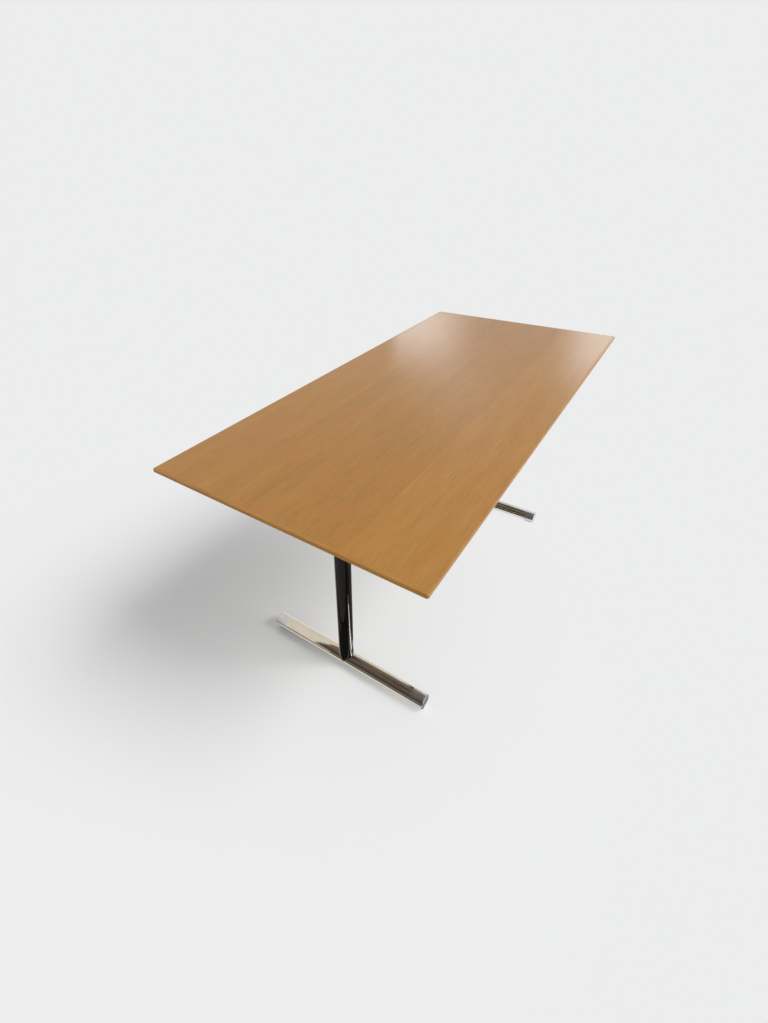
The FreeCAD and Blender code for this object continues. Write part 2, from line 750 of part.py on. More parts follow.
def fasteners():
    wood = fastener(wood_screw_radius, wood_screw_bite + plate_thickness,
                    wood_head_radius, wood_head_height)
    riser_wood = fastener(wood_screw_radius, wood_screw_bite + riser_wall,
                          wood_head_radius, wood_head_height)
    block = fastener(machine_screw_radius, block_foot_height + plate_thickness - slip_clearance,
                     machine_head_radius, machine_head_height)
    small = fastener(small_screw_radius, leaf_thickness + plate_thickness - slip_clearance,
                     small_head_radius, small_head_height)
    bolt = fastener(wood_screw_radius, plate_thickness + riser_wall + nut_height,
                    wood_head_radius, wood_head_height)
    corners = [math.radians(60 * k) for k in range(6)]
    nut_outline = [(nut_radius * math.cos(a), nut_radius * math.sin(a), 0) for a in corners]
    nut = rounded_face(nut_outline, in_xy(0)).extrude(Vector(0, 0, nut_height))
    nut = nut.cut(rod_along_z(wood_screw_radius + running_clearance, -past, nut_height + past))

    woods = pattern(wood, plate_screw_spots(plate_under))
    riser_woods = pattern(riser_wood, riser_screw_spots(hinge_drop + riser_height - riser_wall))
    bolts = pattern(bolt, plate_screw_spots(plate_under))
    nuts = pattern(nut, plate_screw_spots(hinge_drop + riser_wall))
    blocks = pattern(block, bearing_screw_spots(plate_under - block_foot_height))
    leaves = pattern(small, leaf_screw_spots(plate_under - leaf_thickness))
    caps = pivot_rod_caps()
    return {
        "plate_screws": group([at_near_end(s) for s in woods]),
        "riser_screws": group([at_far_end(s) for s in riser_woods]),
        "riser_bolts": group([at_far_end(s) for s in bolts]),
        "riser_nuts": group([at_far_end(s) for s in nuts]),
        "bearing_screws": group([at_near_end(s) for s in blocks] + [at_far_end(s) for s in blocks]),
        "latch_screws": group([at_near_end(s) for s in leaves] + [at_far_end(s) for s in leaves]),
        "pivot_rod_caps": group([at_near_end(s) for s in caps] + [at_far_end(s) for s in caps]),
    }


pieces = {}
pieces.update(top_board())
pieces.update(lippings())
pieces["leg_rest_buffers"] = rest_buffers()
pieces["far_riser_channel"] = at_far_end(riser_channel())
pieces.update(fasteners())
ends = (("near", near_axis_height, at_near_end, 1), ("far", far_axis_height, at_far_end, -1))
for end, axis_height, to_end, front in ends:
    for name, shape in {**hinge_pieces(), **leg_pieces(axis_height, front)}.items():
        pieces[end + "_" + name] = to_end(shape)

os.makedirs("parts", exist_ok=True)
for name, shape in pieces.items():
    shape.exportStep(os.path.join("parts", name + ".step"))
print(len(pieces), "pieces,", sum(len(shape.Solids) for shape in pieces.values()), "solids")
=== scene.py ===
import json
import math

import bmesh
import bpy
from mathutils import Matrix, Vector


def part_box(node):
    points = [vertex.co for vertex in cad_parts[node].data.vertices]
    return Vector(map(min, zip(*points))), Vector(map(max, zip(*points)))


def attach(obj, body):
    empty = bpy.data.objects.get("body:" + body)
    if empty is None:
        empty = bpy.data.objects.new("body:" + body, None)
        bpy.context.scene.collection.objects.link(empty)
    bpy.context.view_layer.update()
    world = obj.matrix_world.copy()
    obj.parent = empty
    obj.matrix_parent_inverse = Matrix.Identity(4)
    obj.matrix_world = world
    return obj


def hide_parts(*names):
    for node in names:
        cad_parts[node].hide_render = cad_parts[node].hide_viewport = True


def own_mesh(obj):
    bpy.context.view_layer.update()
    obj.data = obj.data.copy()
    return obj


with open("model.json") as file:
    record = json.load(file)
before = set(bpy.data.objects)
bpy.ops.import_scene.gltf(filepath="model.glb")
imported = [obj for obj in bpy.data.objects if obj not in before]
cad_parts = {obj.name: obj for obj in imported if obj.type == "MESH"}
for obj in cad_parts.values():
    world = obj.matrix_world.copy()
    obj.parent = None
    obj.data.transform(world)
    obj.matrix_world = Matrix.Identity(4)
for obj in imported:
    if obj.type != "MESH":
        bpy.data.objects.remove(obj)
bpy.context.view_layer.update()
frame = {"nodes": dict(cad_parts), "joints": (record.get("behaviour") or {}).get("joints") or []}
nodes = frame["nodes"]
jointPlace = {joint["name"]: Vector(joint["pos_m"]) for joint in frame["joints"]}
print("frame loaded,", len(nodes), "nodes")


# Small helpers for shader trees

def addNode(tree, kind, inputs=None, **settings):
    node = tree.nodes.new(kind)
    for name, value in settings.items():
        setattr(node, name, value)
    for socket, value in (inputs or {}).items():
        if isinstance(value, bpy.types.NodeSocket):
            tree.links.new(value, node.inputs[socket])
        else:
            node.inputs[socket].default_value = value
    return node


def calc(tree, operation, a, b=0.0):
    return addNode(tree, "ShaderNodeMath", {0: a, 1: b}, operation=operation).outputs[0]


def remap(tree, value, low, high, toLow=0.0, toHigh=1.0, ease="LINEAR"):
    ends = {"Value": value, "From Min": low, "From Max": high, "To Min": toLow, "To Max": toHigh}
    return addNode(tree, "ShaderNodeMapRange", ends, interpolation_type=ease).outputs[0]


def mixColour(tree, factor, a, b):
    # sockets 6 and 7 of the Mix node take colours, and output 2 gives one
    return addNode(tree, "ShaderNodeMix", {0: factor, 6: a, 7: b}, data_type="RGBA").outputs[2]


def stretched(tree, coords, scale):
    return addNode(tree, "ShaderNodeMapping", {"Vector": coords, "Scale": scale}).outputs[0]


def noise(tree, coords, scale=1.0, detail=2.0):
    inputs = {"Vector": coords, "Scale": scale, "Detail": detail}
    return addNode(tree, "ShaderNodeTexNoise", inputs).outputs[0]


def distanceFrom(tree, coords, middle):
    ends = {0: coords, 1: middle}
    return addNode(tree, "ShaderNodeVectorMath", ends, operation="DISTANCE").outputs["Value"]


def newGroup(name, inputs, outputs):
    tree = bpy.data.node_groups.new(name, "ShaderNodeTree")
    for socket, kind, value in inputs:
        item = tree.interface.new_socket(name=socket, in_out="INPUT", socket_type="NodeSocket" + kind)
        if value is not None:
            item.default_value = value
    for socket, kind in outputs:
        tree.interface.new_socket(name=socket, in_out="OUTPUT", socket_type="NodeSocket" + kind)
    return tree, tree.nodes.new("NodeGroupInput").outputs, tree.nodes.new("NodeGroupOutput").inputs


def newMaterial(name, shader):
    material = bpy.data.materials.new(name)
    material.use_nodes = True
    tree = material.node_tree
    surface = tree.nodes["Principled BSDF"]
    for socket, value in shader.items():
        surface.inputs[socket].default_value = value
    coords = tree.nodes.new("ShaderNodeTexCoord").outputs["Object"]
    return material, tree, surface, coords


def placeGroup(tree, group, inputs):
    return addNode(tree, "ShaderNodeGroup", inputs, node_tree=group).outputs


def addBump(tree, surface, height, strength, distance):
    bump = addNode(tree, "ShaderNodeBump", {"Height": height, "Strength": strength, "Distance": distance})
    tree.links.new(bump.outputs[0], surface.inputs["Normal"])


# Wood: soft grain along X of the coordinates, in leaves side by side along Y

grainLayers = {"Bands": ((1.3, 17.0, 17.0), (6.0, 38.0, 38.0)),
               "Fibres": ((9.0, 210.0, 210.0), (22.0, 450.0, 450.0))}
grainCloud = {"scale": (7.0, 26.0, 26.0), "limits": (0.42, 0.66), "amount": 0.6}
grainFleck = {"scale": (48.0, 420.0, 420.0), "detail": 1.0, "limits": (0.56, 0.72), "gloss": 0.05,
              "relief": 0.6}
grainFibre = {"limits": (0.3, 0.7), "gloss": 0.02, "relief": 0.4}
leafShift = 7.0
toneReach = 0.5
noiseMiddle = 0.5


def buildGrain():
    tree, given, out = newGroup("softGrain", [
        ("Vector", "Vector", None),
        ("Dark", "Color", (0.3, 0.13, 0.03, 1)),
        ("Light", "Color", (0.5, 0.27, 0.09, 1)),
        ("Flush", "Color", (0.4, 0.15, 0.02, 1)),
        ("Leaf Width", "Float", 0.17),
        ("Leaf Seed", "Float", 0.0),
        ("Leaf Tone", "Float", 0.1),
        ("Bands", "Float", 0.5),
        ("Fibres", "Float", 0.3),
        ("Flecks", "Float", 0.4),
        ("Gloss", "Float", 0.3),
    ], [("Color", "Color"), ("Roughness", "Float"), ("Height", "Float")])
    across = addNode(tree, "ShaderNodeSeparateXYZ", {0: given["Vector"]}).outputs["Y"]
    leaf = calc(tree, "FLOOR", calc(tree, "DIVIDE", across, given["Leaf Width"]))
    leaf = calc(tree, "ADD", leaf, given["Leaf Seed"])
    leafDraw = addNode(tree, "ShaderNodeTexWhiteNoise", {"W": leaf}, noise_dimensions="1D").outputs["Value"]
    along = calc(tree, "MULTIPLY", leafDraw, leafShift)
    shift = addNode(tree, "ShaderNodeCombineXYZ", {"X": along}).outputs[0]
    place = addNode(tree, "ShaderNodeVectorMath", {0: given["Vector"], 1: shift}, operation="ADD").outputs[0]
    tone = calc(tree, "MULTIPLY", calc(tree, "SUBTRACT", leafDraw, noiseMiddle), given["Leaf Tone"])
    for amount, scales in grainLayers.items():
        for scale in scales:
            layer = noise(tree, stretched(tree, place, scale))
            swing = calc(tree, "MULTIPLY", calc(tree, "SUBTRACT", layer, noiseMiddle), given[amount])
            tone = calc(tree, "ADD", tone, swing)
    fibre = layer        # the last layer is the finest
    colour = mixColour(tree, remap(tree, tone, -toneReach, toneReach), given["Dark"], given["Light"])
    cloud = noise(tree, stretched(tree, place, grainCloud["scale"]))
    flush = remap(tree, cloud, *grainCloud["limits"], 0.0, grainCloud["amount"])
    colour = mixColour(tree, flush, colour, given["Flush"])
    fleck = noise(tree, stretched(tree, place, grainFleck["scale"]), detail=grainFleck["detail"])
    fleckMask = remap(tree, fleck, *grainFleck["limits"])
    fleckShade = calc(tree, "MULTIPLY", fleckMask, given["Flecks"])
    tree.links.new(mixColour(tree, fleckShade, colour, given["Light"]), out["Color"])
    fibreGloss = remap(tree, fibre, *grainFibre["limits"], -grainFibre["gloss"], grainFibre["gloss"])
    fleckGloss = calc(tree, "MULTIPLY", fleckMask, grainFleck["gloss"])
    swing = calc(tree, "ADD", fibreGloss, fleckGloss)
    tree.links.new(calc(tree, "ADD", given["Gloss"], swing), out["Roughness"])
    ridges = calc(tree, "MULTIPLY", fibre, grainFibre["relief"])
    pores = calc(tree, "MULTIPLY", fleckMask, grainFleck["relief"])
    tree.links.new(calc(tree, "SUBTRACT", ridges, pores), out["Height"])
    return tree


# Handling marks: soft smudges and fine scratches, as a mask and as the gloss that they leave

smudges = {"detail": 4.0, "limits": (0.42, 0.68)}
scratches = {"scale": (900.0, 900.0, 60.0), "detail": 1.0, "limits": (0.66, 0.8), "amount": 0.4}


def buildHandling():
    tree, given, out = newGroup("handlingMarks", [
        ("Vector", "Vector", None),
        ("Gloss", "Float", 0.1),
        ("Smudge", "Float", 0.05),
        ("Size", "Float", 25.0),
    ], [("Roughness", "Float"), ("Mask", "Float")])
    cloud = noise(tree, given["Vector"], given["Size"], smudges["detail"])
    streak = noise(tree, stretched(tree, given["Vector"], scratches["scale"]), detail=scratches["detail"])
    scratch = remap(tree, streak, *scratches["limits"], 0.0, scratches["amount"])
    mask = calc(tree, "ADD", remap(tree, cloud, *smudges["limits"]), scratch)
    tree.links.new(mask, out["Mask"])
    dulled = calc(tree, "MULTIPLY", mask, given["Smudge"])
    tree.links.new(calc(tree, "ADD", given["Gloss"], dulled), out["Roughness"])
    return tree


grainGroup = buildGrain()
handlingGroup = buildHandling()


def woodMaterial(name, look, alongY=False):
    material, tree, surface, coords = newMaterial(name, look["shader"])
    if alongY:
        turn = {"Vector": coords, "Rotation": (0.0, 0.0, math.radians(90.0))}
        coords = addNode(tree, "ShaderNodeMapping", turn).outputs[0]
    grain = placeGroup(tree, grainGroup, {"Vector": coords, **look["grain"]})
    tree.links.new(grain["Color"], surface.inputs["Base Color"])
    tree.links.new(grain["Roughness"], surface.inputs["Roughness"])
    addBump(tree, surface, grain["Height"], look["bump"], look["relief"])
    return material


oakTones = {"Dark": (0.3, 0.128, 0.017, 1), "Light": (0.5, 0.24, 0.044, 1), "Flush": (0.43, 0.172, 0.025, 1)}
oakVeneer = {
    "shader": {"IOR": 1.5},
    "grain": {**oakTones, "Leaf Width": 0.175, "Leaf Seed": 230.0, "Leaf Tone": 0.3, "Bands": 0.36,
              "Fibres": 0.65, "Flecks": 0.45, "Gloss": 0.17},
    "bump": 0.9, "relief": 0.00005,
}
oakLipping = {
    "shader": {"IOR": 1.5},
    "grain": {**oakTones, "Leaf Width": 2.0, "Leaf Tone": 0.0, "Bands": 0.6, "Fibres": 0.9, "Flecks": 0.4,
              "Gloss": 0.26},
    "bump": 0.3, "relief": 0.0003,
}
backingVeneer = {
    "shader": {"IOR": 1.45},
    "grain": {"Dark": (0.13, 0.1, 0.078, 1), "Light": (0.3, 0.24, 0.19, 1), "Flush": (0.21, 0.16, 0.12, 1),
              "Leaf Width": 0.24, "Leaf Tone": 0.3, "Bands": 0.9, "Fibres": 0.6, "Flecks": 0.3, "Gloss": 0.5},
    "bump": 0.3, "relief": 0.0004,
}


# Lacquered fibreboard on the bevel: a fine felt of light and dark fibres

fibreboard = {
    "shader": {"IOR": 1.45},
    "dark": (0.2, 0.11, 0.045, 1), "light": (0.36, 0.22, 0.1, 1),
    "felt": 900.0, "cloud": 40.0, "detail": 3.0, "cloudShare": 0.35, "blend": (0.5, 0.85),
    "feltLimits": (0.3, 0.7), "gloss": (0.4, 0.55),
    "bump": 0.2, "relief": 0.0003,
}


def fibreboardMaterial(look):
    material, tree, surface, coords = newMaterial("fibreboard", look["shader"])
    felt = noise(tree, coords, look["felt"], look["detail"])
    cloud = noise(tree, coords, look["cloud"], look["detail"])
    mottle = calc(tree, "ADD", felt, calc(tree, "MULTIPLY", cloud, look["cloudShare"]))
    blend = remap(tree, mottle, *look["blend"])
    tree.links.new(mixColour(tree, blend, look["dark"], look["light"]), surface.inputs["Base Color"])
    tree.links.new(remap(tree, felt, *look["feltLimits"], *look["gloss"]), surface.inputs["Roughness"])
    addBump(tree, surface, felt, look["bump"], look["relief"])
    return material


# Metals and plastics share one recipe: two tones in clouds, handling marks and a fine relief,
# which is given as the scale of its noise, its strength and its depth

finishes = {
    "chrome_tube": {
        "shader": {"Metallic": 1.0},
        "tones": ((0.76, 0.705, 0.605, 1), (0.82, 0.765, 0.675, 1)),
        "marks": {"Gloss": 0.05, "Smudge": 0.06, "Size": 22.0},
        "relief": (1500.0, 0.02, 0.00005),
    },
    "chrome_cap": {
        "shader": {"Metallic": 1.0},
        "tones": ((0.66, 0.66, 0.68, 1), (0.74, 0.74, 0.76, 1)),
        "marks": {"Gloss": 0.2, "Smudge": 0.08, "Size": 40.0},
        "relief": (1500.0, 0.02, 0.00005),
    },
    "gloss_black_tube": {
        "shader": {"IOR": 1.45},
        "tones": ((0.002, 0.002, 0.0022, 1), (0.004, 0.004, 0.0042, 1)),
        "marks": {"Gloss": 0.02, "Smudge": 0.04, "Size": 18.0},
        "relief": (350.0, 0.02, 0.0001),
    },
    "gloss_black_casting": {
        "shader": {"IOR": 1.45},
        "tones": ((0.006, 0.006, 0.0065, 1), (0.012, 0.012, 0.0125, 1)),
        "marks": {"Gloss": 0.16, "Smudge": 0.14, "Size": 30.0},
        "relief": (420.0, 0.2, 0.0006),
    },
    "black_steel": {
        "shader": {"IOR": 1.45},
        "tones": ((0.012, 0.012, 0.0125, 1), (0.025, 0.025, 0.026, 1)),
        "marks": {"Gloss": 0.38, "Smudge": 0.12, "Size": 30.0},
        "relief": (1400.0, 0.35, 0.0004),
    },
    "cast_aluminium": {
        "shader": {"Metallic": 1.0},
        "tones": ((0.5, 0.5, 0.51, 1), (0.66, 0.66, 0.67, 1)),
        "marks": {"Gloss": 0.36, "Smudge": 0.15, "Size": 60.0},
        "relief": (1100.0, 0.45, 0.0005),
    },
    "zinc_steel": {
        "shader": {"Metallic": 1.0},
        "tones": ((0.52, 0.53, 0.56, 1), (0.68, 0.68, 0.66, 1)),
        "marks": {"Gloss": 0.24, "Smudge": 0.18, "Size": 160.0},
        "relief": (2200.0, 0.1, 0.0001),
    },
    "spring_steel": {
        "shader": {"Metallic": 1.0},
        "tones": ((0.14, 0.14, 0.17, 1), (0.27, 0.25, 0.25, 1)),
        "marks": {"Gloss": 0.26, "Smudge": 0.14, "Size": 60.0},
        "relief": (1800.0, 0.08, 0.0001),
    },
    "black_nylon": {
        "shader": {"IOR": 1.52},
        "tones": ((0.016, 0.016, 0.017, 1), (0.032, 0.032, 0.033, 1)),
        "marks": {"Gloss": 0.36, "Smudge": 0.14, "Size": 80.0},
        "relief": (1900.0, 0.3, 0.0003),
    },
    "black_rubber": {
        "shader": {"IOR": 1.5},
        "tones": ((0.014, 0.014, 0.014, 1), (0.03, 0.029, 0.028, 1)),
        "marks": {"Gloss": 0.62, "Smudge": 0.2, "Size": 90.0},
        "relief": (1300.0, 0.4, 0.0004),
    },
}


def finishMaterial(name, look):
    material, tree, surface, coords = newMaterial(name, look["shader"])
    marks = placeGroup(tree, handlingGroup, {"Vector": coords, **look["marks"]})
    darkTone, lightTone = look["tones"]
    scale, strength, distance = look["relief"]
    tree.links.new(mixColour(tree, marks["Mask"], lightTone, darkTone), surface.inputs["Base Color"])
    tree.links.new(marks["Roughness"], surface.inputs["Roughness"])
    addBump(tree, surface, noise(tree, coords, scale), strength, distance)
    return material


slotMaterials = {name: finishMaterial(name, look) for name, look in finishes.items()}
slotMaterials["oak_veneer"] = woodMaterial("oakVeneer", oakVeneer)
slotMaterials["wood_lipping"] = woodMaterial("oakLipping", oakLipping)
slotMaterials["backing_veneer"] = woodMaterial("backingVeneer", backingVeneer)
slotMaterials["board_core"] = fibreboardMaterial(fibreboard)
endLipping = woodMaterial("oakLippingEnds", oakLipping, alongY=True)
print("materials made,", len(slotMaterials) + 1)


# CAD nodes keep their shape and get the material of their slot, with the grain turned on the end lippings

endLippingNodes = ("lipping_near_end", "lipping_far_end")


def dressNodes():
    for name, node in nodes.items():
        slotName = node.data.materials[0].name
        node.data.materials[0] = endLipping if name in endLippingNodes else slotMaterials[slotName]


dressNodes()
print("nodes dressed")


# New pieces

sharpAngle = 32.0
samePlace = 1e-6


def isVert(item):
    return isinstance(item, bmesh.types.BMVert)


def isEdge(item):
    return isinstance(item, bmesh.types.BMEdge)


def makePiece(name, shape, slotName, body, replaced):
    bmesh.ops.recalc_face_normals(shape, faces=shape.faces[:])
    mesh = bpy.data.meshes.new(name)
    shape.to_mesh(mesh)
    shape.free()
    mesh.shade_smooth()
    mesh.set_sharp_from_angle(angle=math.radians(sharpAngle))
    mesh.materials.append(slotMaterials[slotName])
    piece = bpy.data.objects.new(name, mesh)
    bpy.context.scene.collection.objects.link(piece)
    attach(piece, body)
    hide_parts(replaced)
    return piece


def solidBoxes(nodeName):
    # lowest and highest corner of each separate solid of a node, in a steady order
    shape = bmesh.new()
    shape.from_mesh(nodes[nodeName].data)
    bmesh.ops.remove_doubles(shape, verts=shape.verts[:], dist=samePlace)
    waiting = set(shape.verts)
    boxes = []
    for first in shape.verts:
        if first not in waiting:
            continue
        waiting.remove(first)
        island = [first]
        for vert in island:
            beside = [link.other_vert(vert) for link in vert.link_edges]
            fresh = [other for other in beside if other in waiting]
            waiting.difference_update(fresh)
            island.extend(fresh)
        low = Vector([min(vert.co[k] for vert in island) for k in range(3)])
        high = Vector([max(vert.co[k] for vert in island) for k in range(3)])
        boxes.append((low, high))
    shape.free()
    return boxes


# Screws and bolts: heads with a driver recess, set where the plain ones are, pointing up

smallScrew = {"head": 0.003, "shank": 0.00225, "drive": "cross", "dome": 0.62}
footBolt = {"head": 0.008, "shank": 0.005, "drive": "hex", "dome": 0.9, "point": 0.001}
screwGroups = {
    "plateScrews": {"node": "plate_screws", "body": "desk_top", **smallScrew, "point": 0.006},
    "riserScrews": {"node": "riser_screws", "body": "desk_top", **smallScrew, "point": 0.006},
    "riserBolts": {"node": "riser_bolts", "body": "desk_top", **smallScrew, "point": 0.0005},
    "latchScrews": {"node": "latch_screws", "body": "desk_top", "head": 0.0032, "shank": 0.0025,
                    "drive": "cross", "dome": 0.66, "point": 0.0005},
    "bearingScrews": {"node": "bearing_screws", "body": "desk_top", "head": 0.004, "shank": 0.003,
                      "drive": "hex", "dome": 0.88, "point": 0.0005},
    "nearFootBolt": {"node": "near_foot_bolt", "body": "near_leg", **footBolt},
    "farFootBolt": {"node": "far_foot_bolt", "body": "far_leg", **footBolt},
}

# headSteps go from the crown to the rim of the head, as shares of the way outwards and of the height
screwForm = {"sides": 24, "driveReach": {"cross": 0.78, "hex": 0.58}, "crossArm": 0.28, "recessTaper": 0.86,
             "recessDepth": 0.55, "headSteps": ((0.55, 0.16), (0.87, 0.5), (1.0, 0.78), (1.0, 1.0)),
             "tip": 0.3}


def growRing(shape, edges, size, lift):
    made = bmesh.ops.extrude_edge_only(shape, edges=edges)["geom"]
    ring = [item for item in made if isVert(item)]
    bmesh.ops.scale(shape, vec=(size, size, 1.0), verts=ring)
    bmesh.ops.translate(shape, vec=(0.0, 0.0, lift), verts=ring)
    return [item for item in made if isEdge(item) and item.is_boundary]


def ringEdges(verts):
    return list({link for vert in verts for link in vert.link_edges})


def turnOf(spot):
    return math.atan2(spot.y, spot.x)


def driveLoop(shape, drive, reach):
    if drive == "hex":
        return bmesh.ops.create_circle(shape, segments=6, radius=reach)["verts"]
    loop = bmesh.ops.create_circle(shape, segments=12, radius=reach)["verts"]
    half = screwForm["crossArm"] * reach
    corners = []
    for quarter in range(4):
        turn = Matrix.Rotation(math.radians(90.0 * quarter), 3, "Z")
        corners += [turn @ Vector(spot) for spot in ((reach, -half, 0), (reach, half, 0), (half, half, 0))]
    inTurn = sorted(loop, key=lambda vert: turnOf(vert.co))
    for vert, spot in zip(inTurn, sorted(corners, key=turnOf)):
        vert.co = spot
    return loop


def addScrew(shape, look, low, high):
    before = set(shape.verts)
    radius = (high.x - low.x) / 2
    head = look["head"]
    crown = look["dome"] * radius
    rim = bmesh.ops.create_circle(shape, segments=screwForm["sides"], radius=crown)["verts"]
    edges = ringEdges(rim)
    reach = screwForm["driveReach"][look["drive"]] * crown
    drive = ringEdges(driveLoop(shape, look["drive"], reach))
    bmesh.ops.bridge_loops(shape, edges=edges + drive)
    recess = growRing(shape, drive, screwForm["recessTaper"], screwForm["recessDepth"] * head)
    bmesh.ops.contextual_create(shape, geom=recess)
    reached = crown
    height = 0.0
    for outwards, upwards in screwForm["headSteps"]:
        target = crown + outwards * (radius - crown)
        edges = growRing(shape, edges, target / reached, upwards * head - height)
        reached = target
        height = upwards * head
    length = high.z - low.z - head
    edges = growRing(shape, edges, look["shank"] / reached, 0.0)
    edges = growRing(shape, edges, 1.0, length - look["point"])
    edges = growRing(shape, edges, screwForm["tip"], look["point"])
    bmesh.ops.contextual_create(shape, geom=edges)
    made = [vert for vert in shape.verts if vert not in before]
    middle = (low + high) / 2
    bmesh.ops.translate(shape, vec=(middle.x, middle.y, low.z), verts=made)


def makeScrews():
    for name, look in screwGroups.items():
        shape = bmesh.new()
        for low, high in solidBoxes(look["node"]):
            addScrew(shape, look, low, high)
        makePiece(name, shape, "zinc_steel", look["body"], look["node"])


makeScrews()
print("screws made,", len(screwGroups), "groups")


# Latch leaves: bent strips of spring steel with a slot, built in their rest shape

latchLeaf = {"thickness": 0.002, "slotHalf": 0.028, "slotLength": 0.036, "root": 0.028, "joggle": 0.012,
             "level": 0.0255, "bend": 0.0028, "bendRows": (1, 2, 4), "bendSteps": 4, "slotRound": 0.009,
             "slotSteps": 6, "keep": 0.6}
bevelForm = {"offset_type": "OFFSET", "profile": 0.5, "material": -1}


def makeLeaf(end, outward, look):
    nodeName = end + "_latch_leaf"
    low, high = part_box(nodeName)
    hinge = jointPlace[end + "_leg_fold"]
    rootEnd = max(abs(low[0] - hinge.x), abs(high[0] - hinge.x))
    rootTop = high[2] - look["thickness"] / 2
    joggleStart = rootEnd - look["root"]
    level = hinge.z + look["level"]
    half = (high[1] - low[1]) / 2
    path = [(rootEnd, rootTop), (joggleStart, rootTop), (joggleStart - look["joggle"], level),
            (look["slotLength"], level), (0.0, level), (0.0, low[2])]
    shape = bmesh.new()
    row = [shape.verts.new((hinge.x + outward * path[0][0], y, path[0][1]))
           for y in (-half, -look["slotHalf"], look["slotHalf"], half)]
    edges = [shape.edges.new(pair) for pair in zip(row, row[1:])]
    rows = [edges]
    for here, following in zip(path, path[1:]):
        made = bmesh.ops.extrude_edge_only(shape, edges=edges)["geom"]
        newRow = {item for item in made if isVert(item)}
        step = (outward * (following[0] - here[0]), 0.0, following[1] - here[1])
        bmesh.ops.translate(shape, vec=step, verts=list(newRow))
        edges = [item for item in made if isEdge(item) and set(item.verts) <= newRow]
        rows.append(edges)
    slotFaces = [face for face in shape.faces if abs(face.calc_center_median().y) < look["slotHalf"]
                 and abs(face.calc_center_median().x - hinge.x) < look["slotLength"]]
    bmesh.ops.delete(shape, geom=slotFaces, context="FACES")
    bends = [edge for index in look["bendRows"] for edge in rows[index] if edge.is_valid]
    bmesh.ops.bevel(shape, geom=bends, offset=look["bend"], segments=look["bendSteps"],
                    affect="EDGES", **bevelForm)
    inner = [vert for vert in shape.verts if abs(abs(vert.co.y) - look["slotHalf"]) < samePlace
             and abs(abs(vert.co.x - hinge.x) - look["slotLength"]) < samePlace]
    bmesh.ops.bevel(shape, geom=inner, offset=look["slotRound"], segments=look["slotSteps"],
                    affect="VERTICES", **bevelForm)
    piece = makePiece(end + "LatchLeaf", shape, "spring_steel", "desk_top", nodeName)
    wall = piece.modifiers.new("sheet", "SOLIDIFY")
    wall.thickness = look["thickness"]
    wall.offset = 0.0
    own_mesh(piece)


makeLeaf("near", -1.0, latchLeaf)
makeLeaf("far", 1.0, latchLeaf)
print("latch leaves made")


# Studio: a pale floor that fades into the backdrop, a soft lamp above the front side, a pale wall with two
# windows beyond the far end, and dark and light cards that only mirrors see

studio = {"backdrop": (0.84, 0.845, 0.845, 1), "ambient": (1.0, 1.0, 1.0, 1), "ambientLevel": 0.52}
roomLevel = 0.68


def makeWorld(look):
    world = bpy.data.worlds.new("studio")
    bpy.context.scene.world = world
    world.use_nodes = True
    tree = world.node_tree
    tree.nodes.clear()
    rays = tree.nodes.new("ShaderNodeLightPath").outputs
    seen = calc(tree, "MAXIMUM", rays["Is Camera Ray"], rays["Is Glossy Ray"])
    seen = calc(tree, "MAXIMUM", seen, rays["Is Transmission Ray"])
    ambient = {"Color": look["ambient"], "Strength": look["ambientLevel"]}
    light = addNode(tree, "ShaderNodeBackground", ambient)
    shown = addNode(tree, "ShaderNodeBackground", {"Color": look["backdrop"], "Strength": 1.0})
    mixed = addNode(tree, "ShaderNodeMixShader", {0: seen, 1: light.outputs[0], 2: shown.outputs[0]})
    addNode(tree, "ShaderNodeOutputWorld", {"Surface": mixed.outputs[0]})


def stageObject(name, shape, material):
    mesh = bpy.data.meshes.new(name)
    shape.to_mesh(mesh)
    shape.free()
    mesh.materials.append(material)
    piece = bpy.data.objects.new(name, mesh)
    bpy.context.scene.collection.objects.link(piece)
    return piece


floorLook = {
    "shader": {"Roughness": 1.0, "Specular IOR Level": 0.0},
    "colour": (0.92, 0.925, 0.925, 1), "stain": (0.7, 0.7, 0.7, 1),
    "stainScale": 3.0, "stainLimits": (0.3, 0.7), "stainAmount": 0.015,
    "fadeMiddle": (-0.55, 0.5, 0.0), "fadeReach": (0.08, 1.38),
    "radius": 12.0, "sides": 96,
}


def makeFloor(look):
    material, tree, surface, coords = newMaterial("floor", look["shader"])
    cloud = noise(tree, coords, look["stainScale"])
    stain = remap(tree, cloud, *look["stainLimits"], 0.0, look["stainAmount"])
    shade = mixColour(tree, stain, look["colour"], look["stain"])
    tree.links.new(shade, surface.inputs["Base Color"])
    away = distanceFrom(tree, coords, look["fadeMiddle"])
    fade = remap(tree, away, *look["fadeReach"], ease="SMOOTHSTEP")
    glow = addNode(tree, "ShaderNodeEmission", {"Color": studio["backdrop"], "Strength": 1.0})
    mixed = addNode(tree, "ShaderNodeMixShader", {0: fade, 1: surface.outputs[0], 2: glow.outputs[0]})
    tree.links.new(mixed.outputs[0], tree.nodes["Material Output"].inputs["Surface"])
    shape = bmesh.new()
    bmesh.ops.create_circle(shape, cap_ends=True, segments=look["sides"], radius=look["radius"])
    stageObject("floor", shape, material)


def glowMaterial(name, colour, strength):
    material = bpy.data.materials.new(name)
    material.use_nodes = True
    tree = material.node_tree
    tree.nodes.clear()
    glow = addNode(tree, "ShaderNodeEmission", {"Color": colour, "Strength": strength(tree)})
    addNode(tree, "ShaderNodeOutputMaterial", {"Surface": glow.outputs[0]})
    return material


def hideFromView(card):
    card.visible_camera = False
    card.visible_diffuse = False
    card.visible_shadow = False


